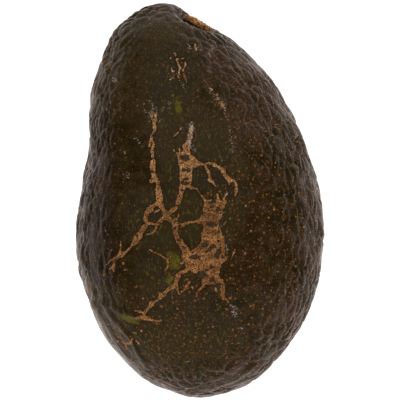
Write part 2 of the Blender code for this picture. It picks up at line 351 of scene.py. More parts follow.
# Green rind shows in patches of (x, y, width, height, tilt in degrees).
GREENS = (
    (-6.9, -16.4, 4.2, 4.4, 0), (-8.3, -21.2, 2.7, 4.8, 0), (-18.4, -31.6, 5.0, 2.0, -10),
    (-8.9, -18.6, 0.9, 1.6, 0), (-5.2, -14.2, 1.0, 1.6, 0), (-6.1, 25.2, 0.7, 2.8, 14),
    (-10.85, 42.8, 0.9, 0.4, 0), (-7.1, 28.2, 0.5, 1.8, 14), (-21.1, -34.9, 1.2, 2.0, 20),
)
# Whitish wax lies in strokes of (x, y, width).
WAX_STROKES = (
    ((-2.2, 20.2, 0.7), (-2.2, 18.9, 0.9), (-2.4, 18.0, 0.3), (-2.7, 16.8, 0.3),
     (-3.0, 15.9, 0.9), (-2.6, 15.0, 0.7), (-2.1, 13.9, 0.3), (-1.4, 13.3, 0.1)),
    ((-1.3, 18.6, -0.5), (-1.1, 17.2, -0.3), (-1.3, 15.6, -0.4)),
    ((-0.2, 19.8, -0.3), (0.6, 18.6, -0.4), (0.9, 16.4, -0.5)),
    ((2.2, 19.0, -0.5), (2.6, 17.0, -0.3), (2.3, 14.4, -0.5)),
    ((-4.9, 19.3, 0.25), (-4.6, 19.0, 0.2)),
    ((-17.3, 16.3, 0.2), (-16.3, 15.4, 0.25), (-15.0, 14.0, 0.2)),
    ((-10.8, 21.7, 0.25), (-10.7, 20.7, 0.3)),
    ((-19.3, 7.3, 0.3), (-19.1, 5.9, 0.45)),
    ((6.5, 0.6, 0.1), (7.2, 1.8, 0.25)),
    ((6.5, -1.6, -0.5), (6.3, -3.4, -0.6), (5.6, -5.0, -0.4), (5.7, -6.8, -0.5),
     (6.0, -8.6, -0.6), (6.7, -10.3, -0.5), (6.9, -12.0, -0.2), (7.4, -13.6, 0.2),
     (7.0, -15.0, -0.2)),
    ((8.2, -28.1, 0.4), (8.9, -29.2, 0.5), (9.0, -30.7, 0.35)),
    ((9.7, -28.4, 0.3), (9.4, -29.6, 0.4), (9.9, -30.6, 0.25)),
    ((-19.8, 12.7, 0.35), (-19.6, 12.5, 0.3)),
    ((-9.9, 24.2, 0.3), (-9.7, 24.0, 0.25)),
    ((6.9, -37.8, 0.3), (7.0, -38.0, 0.25)),
    ((10.9, -33.9, 0.3), (10.9, -34.2, 0.25)),
    ((-22.9, 32.0, 0.5), (-22.5, 31.4, 0.35)),
    ((2.4, 30.2, -0.5), (3.2, 28.9, -0.1), (5.9, 25.6, -0.2), (7.3, 22.5, -0.1),
     (7.6, 20.0, -0.6), (8.3, 17.0, -0.5), (8.6, 14.6, -0.1), (9.0, 12.0, -0.5)),
    ((-4.9, 34.6, 0.15), (-4.4, 34.2, 0.2)),
    ((-7.4, 33.2, 0.1), (-6.4, 33.4, 0.1)),
    ((-4.5, 30.9, 0.1), (-4.2, 30.0, 0.1)),
    ((-23.4, 33.2, 0.3), (-23.0, 32.3, 0.3)),
    ((-13.6, 26.9, 0.1), (-13.1, 26.0, 0.25), (-12.8, 25.2, 0.35), (-12.3, 24.2, 0.3)),
    ((-14.8, 23.8, 0.1), (-13.7, 23.7, 0.2), (-13.4, 22.8, 0.25), (-13.3, 21.0, 0.15)),
    ((-11.8, 24.2, 0.25), (-11.5, 22.8, 0.3)),
    ((-8.2, 26.0, 0.2), (-7.9, 24.6, 0.25)),
    ((-3.3, 41.4, 0.15), (-2.8, 40.3, 0.25)),
    ((-0.5, 40.6, 0.15), (-0.1, 39.4, 0.25)),
    ((3.1, 41.0, 0.3), (3.8, 39.8, 0.3)),
    ((2.4, 39.2, 0.2), (2.8, 37.8, 0.2)),
    ((2.3, 35.3, 0.15), (2.5, 34.4, 0.2)),
)
# A rubbed streak down the right shoulder: (x, y, width).
RUBBED_STREAK = (
    (0.8, 32.8, -0.5), (2.3, 30.1, 0.2), (3.1, 28.9, 0.7), (4.3, 27.4, 0.8), (5.9, 25.3, 1.2),
    (6.6, 23.9, 0.4), (7.2, 21.7, -0.2), (7.6, 19.5, -0.4), (8.2, 16.8, -0.4), (8.6, 12.5, -0.8),
)
# Where green shows in fine strokes: (x, y, width, height, tilt in degrees).
TINTS = (
    (-8.0, 29.0, 12.0, 24.0, 0), (1.0, 4.0, 22.0, 34.0, 0), (-9.0, -19.0, 14.0, 16.0, 0),
    (-3.0, -36.0, 26.0, 15.0, 0), (-11.0, -5.0, 18.0, 16.0, 0), (-9.0, 44.0, 10.0, 5.0, 0),
)
# Folds in the rind: (x, y) along each, raised on its right as it runs, sunk on its left.
FOLDS = (
    ((-27.2, -26.5), (-26.0, -26.8), (-25.1, -27.35), (-22.1, -31.2), (-21.2, -31.9),
     (-20.4, -33.1), (-17.8, -36.1), (-15.7, -40.4), (-12.9, -43.9), (-14.3, -45.9)),
    ((-24.4, 38.6), (-24.7, 36.2), (-23.6, 33.6), (-23.0, 31.2)),
    ((16.4, -42.2), (13.0, -46.0), (10.0, -48.0), (6.0, -49.7), (3.3, -51.0)),
    ((-27.4, -27.0), (-26.0, -30.6), (-24.2, -34.0), (-22.6, -37.0)),
    ((-27.0, -27.2), (-24.9, -31.0), (-22.6, -34.6), (-20.6, -38.0), (-18.0, -41.6)),
    ((-28.2, -29.0), (-26.6, -33.0), (-24.2, -37.2), (-21.4, -41.0), (-17.6, -45.0)),
    ((-26.6, -26.2), (-23.6, -27.4), (-20.6, -29.0), (-17.6, -30.0)),
)
FOLD_RISE = 0.32
FOLD_WIDTH = 0.55
FOLD_RIDGE_AT = 0.6  # beside the fold's line, on its left as it runs
FOLD_FURROW = 0.2  # the furrow's share of the rise
FOLD_FURROW_AT = 0.25
FOLD_FURROW_WIDTH = 0.6 * FOLD_WIDTH
FOLD_FADE = 2.0
# Wrinkles fan out from knots at (x, y, reach).
KNOTS = ((-27.0, -26.2, 4.5), (-24.8, -16.6, 4.0), (-23.4, 35.4, 4.0))
KNOT_WRINKLES = 11
KNOT_HEIGHT = 0.26
KNOT_SWAY = 2.0
KNOT_CORE = (0.4, 1.6)  # the wrinkles start and are full this far from the knot
# Low bulges of the whole fruit at (x, y, reach, height).
BULGES = (
    (-30.0, 26.0, 15.0, 0.75), (-22.0, 45.0, 8.0, 0.7), (-26.0, -36.0, 13.0, 0.7),
    (-16.0, -47.0, 10.0, 0.6), (22.0, -40.0, 9.0, -0.25), (4.0, -52.0, 8.0, -0.45),
    (-5.0, -52.0, 6.0, -0.2), (-12.0, 52.0, 5.0, -0.5), (22.0, 27.0, 5.0, -0.5),
    (-27.0, 38.0, 6.0, -0.15),
)
# The flanks stand fuller at (x, y, reach, lift).
FULLNESS = (
    (-27.5, 18.0, 10.0, 1.6), (-26.5, 8.0, 8.0, 0.8), (30.0, 8.0, 11.0, 0.5),
    (31.0, -3.0, 12.0, 0.9), (30.0, -18.0, 12.0, 0.9), (15.0, -45.0, 10.0, 1.0),
)
# The rind is smooth and bloomed low on both sides, its pale bloom partly a painted sheen, at (x, y,
# reach, strength).
BLOOM_AND_SHEEN_SPOTS = ((-30.0, -25.0, 10.0, 1.1), (-24.0, -38.0, 14.0, 1.2), (17.0, -46.0, 16.0, 0.5))
# Lone flecks of the same crust: (x, y, width, height, tilt in degrees).
FLECKS = (
    (4.4, 27.9, 0.9, 0.7, 20), (5.9, 25.2, 1.0, 0.9, 0), (3.1, 29.4, 0.6, 0.6, 0),
    (-1.2, 40.6, 0.65, 2.4, 12), (-6.3, 45.9, 0.9, 0.4, 0), (-7.8, 37.65, 0.6, 0.5, 0),
    (-20.25, -16.9, 0.8, 0.8, 0), (-20.0, -18.5, 0.6, 0.7, 0), (-15.5, -34.6, 0.8, 0.8, 30),
    (-17.3, -35.1, 1.2, 0.6, -10),
)


# ---------------------------------------------------------------- small helpers
def linear(hex_colour):
    """An sRGB hex value as the linear colour that a socket takes."""
    channels = [int(hex_colour[i : i + 2], 16) / 255 for i in (1, 3, 5)]
    return [c / 12.92 if c <= 0.04045 else ((c + 0.055) / 1.055) ** 2.4 for c in channels] + [1.0]


def per(size):
    """The scale at which a pattern's cells or lumps are this many millimetres across."""
    return 1 / (size * MM)


def add_node(tree, kind, settings=(), stops=(), **links):
    """A node with its settings by property or socket, its ramp's stops and its links.

    A socket goes by its name, or by its place: 6 in the settings, _6 as a link.
    """
    node = tree.nodes.new(kind)
    for name, value in dict(settings).items():
        if isinstance(name, str) and hasattr(node, name):
            setattr(node, name, value)
        else:
            node.inputs[name].default_value = value
    for i, (position, hex_colour) in enumerate(stops):
        elements = node.color_ramp.elements
        stop = elements[i] if i < len(elements) else elements.new(position)
        stop.position = position
        stop.color = linear(hex_colour)
    for name, source in links.items():
        key = name.replace("_", " ")
        tree.links.new(source, node.inputs[int(key[1:]) if key[1:].isdigit() else key])
    return node


def deselect_all():
    for other in bpy.context.selected_objects:
        other.select_set(False)


def apply_modifier(obj, modifier):
    deselect_all()
    obj.select_set(True)
    bpy.context.view_layer.objects.active = obj
    bpy.ops.object.modifier_apply(modifier=modifier.name)


def read_points(obj):
    flat = np.empty(len(obj.data.vertices) * 3)
    obj.data.vertices.foreach_get("co", flat)
    return flat.reshape(-1, 3)


def read_normals(obj):
    flat = np.empty(len(obj.data.vertices) * 3, np.float32)
    obj.data.vertices.foreach_get("normal", flat)
    return flat.reshape(-1, 3).astype(float)


def write_points(obj, points):
    obj.data.vertices.foreach_set("co", points.ravel())
    obj.data.update()


def store(obj, name, values, kind="FLOAT"):
    """Keeps a value for each point, or a vector, for the piece's material to read."""
    attribute = obj.data.attributes.new(name, kind, "POINT")
    field = "vector" if kind == "FLOAT_VECTOR" else "value"
    attribute.data.foreach_set(field, np.asarray(values, np.float32).ravel())


def seen_from_above(points):
    """Where points on the fruit fall in the scar's layout, in millimetres."""
    offset = points / MM - EYE
    return offset[:, :2] * ((LAYOUT_HEIGHT - EYE[2]) / offset[:, 2:])


def smooth_step(low, high, x):
    t = np.clip((x - low) / (high - low), 0.0, 1.0)
    return t * t * (3 - 2 * t)


def bell(x, width):
    return np.exp(-((x / width) ** 2))


def lumps(points, width, seed=0.0):
    """Smooth noise from -1 to 1 at each point, with lumps of about the given width."""
    shift = Vector((seed, 2 * seed, 3 * seed))
    return np.array([noise.noise(Vector(p) / width + shift) for p in points])


def humps(places, spots):
    """Soft round rises at (x, y, reach, height)."""
    rise = np.zeros(len(places))
    for x, y, reach, height in spots:
        far = np.hypot(*(places - (x, y)).T)
        rise += height * (1 - smooth_step(0.0, reach, far))
    return rise


# ---------------------------------------------------------------- the scar's outline
def strand_gap(places, strand):
    """Distance outside a tapering strand's edge, negative inside it."""
    gap = np.full(len(places), FAR)
    for (x0, y0, w0), (x1, y1, w1) in zip(strand, strand[1:]):
        along = np.array((x1 - x0, y1 - y0))
        offset = places - (x0, y0)
        t = np.clip(offset @ along / (along @ along), 0, 1)
        distance = np.hypot(*(offset - np.outer(t, along)).T)
        gap = np.minimum(gap, distance - (w0 + (w1 - w0) * t) / 2)
    return gap


def patch_gap(places, patch):
    x, y = places.T
    heights, left, right = np.array(sorted(patch)).T
    sideways = np.maximum(np.interp(y, heights, left) - x, x - np.interp(y, heights, right))
    return np.maximum(sideways, np.maximum(heights[0] - y, y - heights[-1]))


def oval_gap(places, oval):
    x, y, width, height, tilt = oval
    turn = math.radians(tilt)
    offset = places - (x, y)
    along = offset @ (math.cos(turn), math.sin(turn)) / (width / 2)
    across = offset @ (-math.sin(turn), math.cos(turn)) / (height / 2)
    return (np.hypot(along, across) - 1) * min(width, height) / 2


def scar_gap(places):
    """Distance in millimetres outside the whole scar's edge, negative inside it."""
    weight = np.zeros(len(places))
    for shapes, measure in ((STRANDS, strand_gap), (PATCHES, patch_gap), (FLECKS, oval_gap)):
        for shape in shapes:
            weight += np.exp(-measure(places, shape) / STRAND_BLEND)
    gap = -STRAND_BLEND * np.log(np.maximum(weight, 1e-300))
    flat = np.column_stack((places, np.zeros(len(places))))
    torn = ISLAND_SPREAD + 0.3 * lumps(flat, 0.6, 12.0)
    for island in ISLANDS:
        gap = np.maximum(gap, torn - oval_gap(places, island))
    return gap + RAGGED * (lumps(flat, 1.1) + lumps(flat, 0.45, 7.0))


# ---------------------------------------------------------------- the fruit's true shape
def stem_axis():
    """Middle of the stem button and the direction that it faces."""
    points = read_points(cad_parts["stem_button"])
    middle = points.mean(axis=0)
    thin = np.linalg.svd(points - middle, full_matrices=False)[2][2]
    return middle, thin if thin @ middle > 0 else -thin


STEM_AT, STEM_OUT = stem_axis()
LOW, HIGH = (np.array(corner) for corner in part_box("fruit_body"))
MIDDLE = (LOW + HIGH) / 2
HALF = (HIGH - LOW) / 2


def off_stem_axis(points):
    """Distance from the stem's axis, and height along it."""
    offset = points - STEM_AT
    height = offset @ STEM_OUT
    return np.linalg.norm(offset - np.outer(height, STEM_OUT), axis=1), height


def smooth_form():
    """A copy of the CAD fruit with its facets rounded and its stem socket closed over."""
    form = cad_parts["fruit_body"].copy()
    form.data = form.data.copy()
    form.parent = None
    bpy.context.collection.objects.link(form)
    mesh = bmesh.new()
    mesh.from_mesh(form.data)
    bmesh.ops.remove_doubles(mesh, verts=mesh.verts, dist=0.01 * MM)
    around, height = off_stem_axis(np.array([v.co for v in mesh.verts]))
    in_socket = (around < SOCKET_RADIUS * MM) & (height > -SOCKET_DEPTH * MM)
    mesh.verts.ensure_lookup_table()
    pit = [f for f in mesh.faces if all(in_socket[v.index] for v in f.verts)]
    bmesh.ops.delete(mesh, geom=pit, context="FACES")
    loose = [v for v in mesh.verts if not v.link_faces]
    bmesh.ops.delete(mesh, geom=loose, context="VERTS")
    bmesh.ops.holes_fill(mesh, edges=[e for e in mesh.edges if e.is_boundary])
    bmesh.ops.join_triangles(
        mesh, faces=mesh.faces, angle_face_threshold=0.7, angle_shape_threshold=0.7
    )
    mesh.to_mesh(form.data)
    mesh.free()
    rounding = form.modifiers.new("rounding", "SUBSURF")
    rounding.levels = 2
    rounding.render_levels = 2
    apply_modifier(form, rounding)
    return form


def drawn_in(points, toward, reach, pull):
    """The points of a ball drawn towards one direction, so that its squares are finer there."""
    toward = np.array(toward) / np.linalg.norm(toward)
    level = points @ toward
    angle = np.arccos(np.clip(level, -1, 1))
    side = points - np.outer(level, toward)
    side /= np.maximum(np.linalg.norm(side, axis=1), 1e-9)[:, None]
    angle *= 1 - pull * (1 - smooth_step(0.0, reach, angle))
    return np.outer(np.cos(angle), toward) + side * np.sin(angle)[:, None]


def even_ball(cells):
    """A cube cut into squares and swelled to a ball, with the squares kept near one size."""
    deselect_all()
    bpy.ops.mesh.primitive_cube_add(size=2)
    ball = bpy.context.object
    bpy.ops.object.mode_set(mode="EDIT")
    bpy.ops.mesh.subdivide(number_cuts=cells - 1)
    bpy.ops.object.mode_set(mode="OBJECT")
    points = np.tan(read_points(ball) * math.pi / 4)
    points /= np.linalg.norm(points, axis=1)[:, None]
    points = drawn_in(points, (0, 0, 1), TOP_REACH, TOP_PULL)
    points = drawn_in(points, (STEM_AT - MIDDLE) / HALF, STEM_REACH, STEM_PULL)
    write_points(ball, points)
    return ball


def wrap_onto(ball, form):
    """Each point of the ball goes straight out from the middle to the form's surface."""
    rays = read_points(ball) * HALF
    surface = BVHTree.FromObject(form, bpy.context.evaluated_depsgraph_get())
    hits = [surface.ray_cast(Vector(MIDDLE), Vector(ray))[0] for ray in rays]
    write_points(ball, np.array([list(hit) for hit in hits]))


# ---------------------------------------------------------------- pebbles and creases
def lie_of_pebbles(points, normals):
    """The way the pebbles lie: round the fruit's sides and ends, and along its top."""
    x, y = normals[:, 0], normals[:, 1]
    steep = x**2 + y**2
    turn = 2 * np.arctan2(x, -y)
    east = steep * np.cos(turn) - LENGTHWISE_PULL * (1 - steep)
    angle = np.arctan2(steep * np.sin(turn), east) / 2
    angle += LIE_SWAY * lumps(points, LIE_SWAY_WIDTH * MM, 2.0)
    level = np.column_stack((np.cos(angle), np.sin(angle), np.zeros(len(angle))))
    lie = level - normals * np.sum(level * normals, axis=1)[:, None]
    return lie / np.linalg.norm(lie, axis=1)[:, None]


def pebble_width(points):
    """Pebbles are finer at the neck's tip and on the left."""
    (up_from, up_to), (left_from, left_to) = FINER_UP, FINER_LEFT
    neck = smooth_step(up_from * MM, up_to * MM, points[:, 1])
    left = 1 - smooth_step(left_from * MM, left_to * MM, points[:, 0])
    return PEBBLE_WIDTH * MM * (1 - FINER * np.maximum(neck, left))


def pebble_distance(offset, lie, width):
    """How far an offset reaches, in widths of a pebble that lies along the given way."""
    along = np.sum(offset * lie, axis=-1) ** 2
    whole = np.sum(offset * offset, axis=-1)
    return np.sqrt(whole - along * (1 - PEBBLE_STRETCH**-2)) / width


def lay_pebbles(points, lie, width):
    """Which of the points are the middles of pebbles that just leave each other room."""
    tries = np.random.default_rng(PEBBLE_SEED).permutation(len(points))[:PEBBLE_TRIES]
    laid = []
    for i in tries:
        offset = points[laid] - points[i]
        room = pebble_distance(offset, lie[i], width[i])
        if not len(laid) or room.min() > PEBBLE_ROOM:
            laid.append(i)
    return np.array(laid)


def crease_net(points, normals):
    """How far each point is inside its pebble, in pebble widths, and how far below its middle."""
    lie = lie_of_pebbles(points, normals)
    width = pebble_width(points)
    laid = lay_pebbles(points, lie, width)
    tree = KDTree(len(laid))
    for k, i in enumerate(laid):
        tree.insert(points[i], k)
    tree.balance()
    swayed = points.copy()
    noise.seed_set(BEND_SEED)
    for size, far in ((BEND_WIDTH, BEND), (KINK_WIDTH, KINK)):
        bends = [noise.noise_vector(Vector(p) / (size * MM)) for p in points]
        swayed += np.array(bends) * (far * MM)
    near = [[hit[1] for hit in tree.find_n(p, PEBBLES_NEAR)] for p in swayed]
    spread = np.random.default_rng(SIZE_SEED).uniform(-SIZE_SPREAD, SIZE_SPREAD, len(points))
    near = laid[np.array(near)]
    width = width * (1 + spread)
    offset = swayed[:, None] - points[near]
    reach = pebble_distance(offset, lie[near], width[near])
    own = offset[np.arange(len(points)), reach.argmin(axis=1)]
    downhill = normals * normals[:, 2:] - (0.0, 0.0, 1.0)
    downhill /= np.maximum(np.linalg.norm(downhill, axis=1), TINY)[:, None]
    reach.partition(1, axis=1)
    return reach[:, 1] - reach[:, 0], np.sum(own * downhill, axis=1) / MM


def ruggedness(points, normals):
    """How deep the creases run: shallow on the level top, at the tips and low on the left."""
    x, y = points[:, 0] / MM, points[:, 1] / MM
    left = 1 - smooth_step(*LEFT_SIDE, x)
    right = smooth_step(*RIGHT_SIDE, x)
    top = smooth_step(*SMOOTH_TILT, normals[:, 2] + LEFT_TILT * left)
    neck = smooth_step(*NECK, y)
    low_left = smooth_step(*LOW_LEFT, -x - LOW_LEFT_LEAN * (y + LOW_LEFT_MIDDLE))
    low_left *= smooth_step(*LOW_END, -y)
    patchy = PATCH_USUAL + PATCH_SPREAD * lumps(points, PATCH_WIDTH * MM, 4.0)
    calm = (1 - SMOOTH_SHARE * top) * (1 + NECK_DEEPER * neck) * (1 - LOW_LEFT_SMOOTHER * low_left)
    calm *= 1 + LEFT_DEEPER * left + RIGHT_DEEPER * right
    return np.maximum(patchy, PATCH_LEAST) * calm


def pebble_relief(inside, below, points, normals):
    """Domed pebbles with sunk creases between them, each pebble tilted on the flanks."""
    creases = 1 - smooth_step(0.0, CREASE_REACH, inside)
    domes = PEBBLE_HEIGHT * (1 - (1 - np.minimum(inside, 1.0)) ** 2) - CREASE_DEPTH * creases
    left = 1 - smooth_step(*(side * MM for side in SHINGLE_LEFT), points[:, 0])
    flank = 1 - smooth_step(*FLANK_TILT, normals[:, 2])
    flank *= smooth_step(*FLANK_TURN, normals[:, 2])
    slope = SHINGLE * np.maximum(left, RIGHT_SHINGLE * flank)
    return domes + slope * np.clip(below, -SHINGLE_REACH, SHINGLE_REACH) * (1 - creases)


# ---------------------------------------------------------------- folds, knots and the socket
def fold_relief(places):
    """Each fold is a soft ridge with a sharper furrow beside it."""
    rise = np.zeros(len(places))
    for fold in FOLDS:
        side = np.zeros(len(places))
        nearest = np.full(len(places), FAR)
        for start, end in zip(fold, fold[1:]):
            along = np.array(end) - start
            offset = places - start
            t = np.clip(offset @ along / (along @ along), 0, 1)
            distance = np.hypot(*(offset - np.outer(t, along)).T)
            turned = np.sign(along[0] * offset[:, 1] - along[1] * offset[:, 0])
            side = np.where(distance < nearest, turned * distance, side)
            nearest = np.minimum(nearest, distance)
        ridge = bell(side + FOLD_RIDGE_AT, FOLD_WIDTH)
        furrow = bell(side - FOLD_FURROW_AT, FOLD_FURROW_WIDTH)
        ends = np.exp(-np.maximum(nearest - FOLD_FADE, 0.0))
        rise += FOLD_RISE * (ridge - FOLD_FURROW * furrow) * ends
    return rise


def knot_relief(places):
    """Wrinkles that fan out from each knot."""
    rise = np.zeros(len(places))
    start, full = KNOT_CORE
    for x, y, reach in KNOTS:
        offset = places - (x, y)
        far = np.hypot(*offset.T)
        turn = np.arctan2(offset[:, 1], offset[:, 0])
        fan = np.cos(KNOT_WRINKLES * turn + KNOT_SWAY * np.sin(2 * turn + x))
        rise += KNOT_HEIGHT * fan * smooth_step(start, full, far) * (1 - smooth_step(full, reach, far))
    return rise


def socket_relief(points):
    """The skin dips towards the stem, rises in a puckered lip and drops into the socket."""
    around, height = off_stem_axis(points)
    around = np.where(height > -SOCKET_DEPTH * MM, around / MM, FAR)
    up = np.array((0.0, 0.0, 1.0)) - STEM_OUT * STEM_OUT[2]
    across = np.cross(STEM_OUT, up)
    offset = points - STEM_AT
    turn = np.arctan2(offset @ across, offset @ up)
    dip = SOCKET_DIP * (1 - smooth_step(SOCKET_MOUTH, DIP_REACH, around))
    dip *= DIP_BELOW + (1 - DIP_BELOW) * smooth_step(*DIP_TURN, np.cos(turn))
    pucker = np.cos(PUCKERS * turn + PUCKER_SWAY * np.sin(3 * turn))
    lip = LIP_HEIGHT * bell(around - LIP_RADIUS, LIP_WIDTH) * (1 + PUCKER_SHARE * pucker)
    rays = RAY_HEIGHT * pucker * smooth_step(*RAYS_RISE, around) * (1 - smooth_step(*RAYS_FADE, around))
    edge = (SOCKET_MOUTH + shift for shift in SOCKET_RIM)
    drop = SOCKET_DROP * (1 - smooth_step(*edge, around))
    calm = smooth_step(SOCKET_MOUTH, LIP_RADIUS + PEBBLES_START, around)
    return lip + rays - dip - drop, calm


# ---------------------------------------------------------------- the skin
def round_the_rim(points):
    """Coordinates that run slowly round the fruit's rim and fast across it."""
    unit = (points - MIDDLE) / HALF
    out = np.hypot(unit[:, 0], unit[:, 1])
    rim = unit[:, :2] / np.maximum(out, TINY)[:, None] * HALF[:2]
    drop = np.arctan2(unit[:, 2], out) * HALF[2]
    return np.column_stack((rim, RIM_STRETCH * drop))


def unrolled(points):
    """The skin laid flat from its top out to its waist, and the same below: x, y in metres."""
    unit = (points - MIDDLE) / HALF
    level = np.hypot(unit[:, 0], unit[:, 1])
    fall = np.arctan2(level, np.abs(unit[:, 2]))
    flat = unit[:, :2] / np.maximum(level, TINY)[:, None] * HALF[:2] * fall[:, None]
    flat += np.outer(smooth_step(*UNDERSIDE_TURN, -unit[:, 2]), UNDERSIDE_SHIFT) * MM
    return np.column_stack((flat, np.zeros(len(flat))))


def nearest_stroke(places, strokes):
    return np.min([strand_gap(places, stroke) for stroke in strokes], axis=0)


def nearest_oval(places, ovals):
    return np.min([oval_gap(places, oval) for oval in ovals], axis=0)


def raise_relief(skin):
    """Moves the wrapped skin out to its pebbles, folds, bulges and socket, and keeps their marks."""
    points = read_points(skin)
    normals = read_normals(skin)
    up = normals[:, 2]
    store(skin, "round_the_rim", round_the_rim(points), "FLOAT_VECTOR")
    store(skin, "unrolled", unrolled(points), "FLOAT_VECTOR")
    places = seen_from_above(points)
    # The wax bloom low on the sideways-facing rim; its pale colour there is partly a painted sheen.
    bloom_and_sheen = np.clip(humps(places, BLOOM_AND_SHEEN_SPOTS), 0, 1)
    bloom_and_sheen *= smooth_step(*BLOOM_BELOW, -up) * smooth_step(*BLOOM_ABOVE, up)
    store(skin, "bloom_and_sheen", bloom_and_sheen)
    left = 1 - smooth_step(*(side * MM for side in SHINGLE_LEFT), points[:, 0])
    steep = (1 - smooth_step(*STEEP_TILT, up)) * (1 - BLOOM_SMOOTH * bloom_and_sheen)
    store(skin, "steepness", steep * (1 - LEFT_SMOOTH * left))
    inside, below = crease_net(points, normals)
    rugged = ruggedness(points, normals)
    socket, calm = socket_relief(points)
    swells = lumps(points * SWELL_STRETCH, SWELL_WIDTH * MM)
    rise = pebble_relief(inside, below, points, normals) * rugged * calm + swells * SWELL_HEIGHT
    rise += smooth_step(*TOPSIDE, up) * (fold_relief(places) + knot_relief(places))
    rise += humps(places, BULGES) * smooth_step(*BULGE_TILT, up)
    points[:, 2] += humps(places, FULLNESS) * smooth_step(*FULL_TILT, up) * MM
    points += normals * ((rise + np.maximum(socket, -SOCKET_DIP)) * MM)[:, None]
    points += np.outer(np.minimum(socket + SOCKET_DIP, 0.0) * MM, STEM_OUT)
    points[:, 2] = np.maximum(points[:, 2], 0.0)
    write_points(skin, points)
    store(skin, "inside_pebble", np.clip(inside, 0, 1))
    store(skin, "rugged", np.clip(rugged * calm, 0, 1))
    return points, up


def mark_the_skin(skin, points, up):
    """Keeps where the scar, the green, the wax, the ground colours and the pores lie."""
    places = seen_from_above(points)
    marks = {
        "scar_gap": scar_gap(places),
        "green_gap": nearest_oval(places, GREENS),
        "wax_gap": nearest_stroke(places, WAX_STROKES),
        "streak_gap": strand_gap(places, RUBBED_STREAK),
        "tint_gap": nearest_oval(places, TINTS),
        "island_gap": nearest_oval(places, ISLANDS),
    }
    for name, gap in marks.items():
        store(skin, name, np.where(up > 0, np.clip(gap, *GAP_SPAN), GAP_SPAN[1]))
    x, y = places.T
    higher = BELT_LEFT_HIGHER * (1 - smooth_step(*BELT_LEFT, x))
    higher += BELT_RIGHT_HIGHER * smooth_step(*BELT_RIGHT, x)
    belt = smooth_step(*BELT_LOW, y) * (1 - smooth_step(*BELT_HIGH, y - higher))
    store(skin, "belt", belt)
    store(skin, "leftness", 1 - smooth_step(*LEFTNESS, x))
    store(skin, "left_rim_shade", belt * (1 - smooth_step(*LEFT_RIM_SHADE, x)))
    pores = PORES_FEW + (1 - PORES_FEW) * smooth_step(*PORES_RIGHT, x - PORES_LEAN * y)
    net = smooth_step(*NET_LEFT, x) * (1 - smooth_step(*NET_RIGHT, x))
    net *= smooth_step(*NET_LOW, y) * (1 - smooth_step(*NET_HIGH, y))
    store(skin, "pores", pores * (1 - NET_FEWER * net))


def make_skin(form):
    skin = even_ball(SKIN_CELLS)
    skin.name = "skin"
    skin.data.name = "skin"
    wrap_onto(skin, form)
    points, up = raise_relief(skin)
    mark_the_skin(skin, points, up)
    skin.data.shade_smooth()
    return skin


# ---------------------------------------------------------------- the corky scar crust
def cut_to_the_scar(crust):
    """Keeps the sheet's squares inside the scar; gives the rest's places, gaps and edge points."""
    low, high = np.array(CRUST_LOW), np.array(CRUST_HIGH)
    places = (read_points(crust)[:, :2] + 1) / 2 * (high - low) + low
    gap = scar_gap(places)
    sheet = bmesh.new()
    sheet.from_mesh(crust.data)
    sheet.verts.ensure_lookup_table()
    for vertex in sheet.verts:
        vertex.co = (*(places[vertex.index]), gap[vertex.index])
    outside = [f for f in sheet.faces if sum(v.co.z for v in f.verts) > 0]
    bmesh.ops.delete(sheet, geom=outside, context="FACES")
    pinched = [v for v in sheet.verts if sum(e.is_boundary for e in v.link_edges) > 2]
    bmesh.ops.delete(sheet, geom=pinched, context="VERTS")
    sheet.to_mesh(crust.data)
    edge = np.array([v.is_boundary for v in sheet.verts])
    sheet.free()
    flat = read_points(crust)
    return flat[:, :2], flat[:, 2].copy(), edge


def trim_edge(places, gap, edge):
    """Moves the sheet's edge points across onto the scar's true edge."""
    nudges = ((CRUST_STEP, 0), (0, CRUST_STEP))
    nudged = [scar_gap(places[edge] + nudge) for nudge in nudges]
    slope = (np.array(nudged) - gap[edge]).T / CRUST_STEP
    slope /= np.maximum(np.linalg.norm(slope, axis=1), CRUST_SLOPE_LEAST)[:, None]
    places[edge] -= slope * np.clip(gap[edge], -CRUST_CELL, CRUST_CELL)[:, None]
    gap[edge] = 0.0


def make_crust(skin):
    """A thin raised crust on the skin wherever the scar's outline says so."""
    deselect_all()
    across, along = np.ceil(np.subtract(CRUST_HIGH, CRUST_LOW) / CRUST_CELL).astype(int)
    bpy.ops.mesh.primitive_grid_add(x_subdivisions=across, y_subdivisions=along, size=2)
    crust = bpy.context.object
    crust.name = "scar_crust"
    crust.data.name = "scar_crust"
    places, gap, edge = cut_to_the_scar(crust)
    trim_edge(places, gap, edge)
    surface = BVHTree.FromObject(skin, bpy.context.evaluated_depsgraph_get())
    eye = Vector(EYE) * MM
    fall = LAYOUT_HEIGHT - EYE[2]
    hits = [surface.ray_cast(eye, Vector((x, y, fall)))[:2] for x, y in places]
    ground = np.array([list(hit[0]) for hit in hits])
    facing = np.array([list(hit[1]) for hit in hits])
    crumbs = [noise.voronoi(Vector(p) / (CRUMB_WIDTH * MM))[0][0] for p in ground]
    grains = GRAIN_TOP - GRAIN_GAP * np.array(crumbs)
    grains += GRAIN_LUMP * lumps(ground, GRAIN_LUMP_WIDTH * MM, 3.0)
    rise = CRUST_HEIGHT * smooth_step(0.0, CRUST_EDGE, -gap) * grains
    write_points(crust, ground + facing * ((rise + CRUST_LIFT) * MM)[:, None])
    store(crust, "wax_gap", np.clip(nearest_stroke(places, WAX_STROKES), *GAP_SPAN))
    store(crust, "dryness", smooth_step(*CRUST_DRIER, places[:, 1]))
    body = crust.modifiers.new("body", "SOLIDIFY")
    body.thickness = CRUST_DEPTH * MM
    body.offset = -1.0
    apply_modifier(crust, body)
    crust.data.shade_smooth()
    return crust


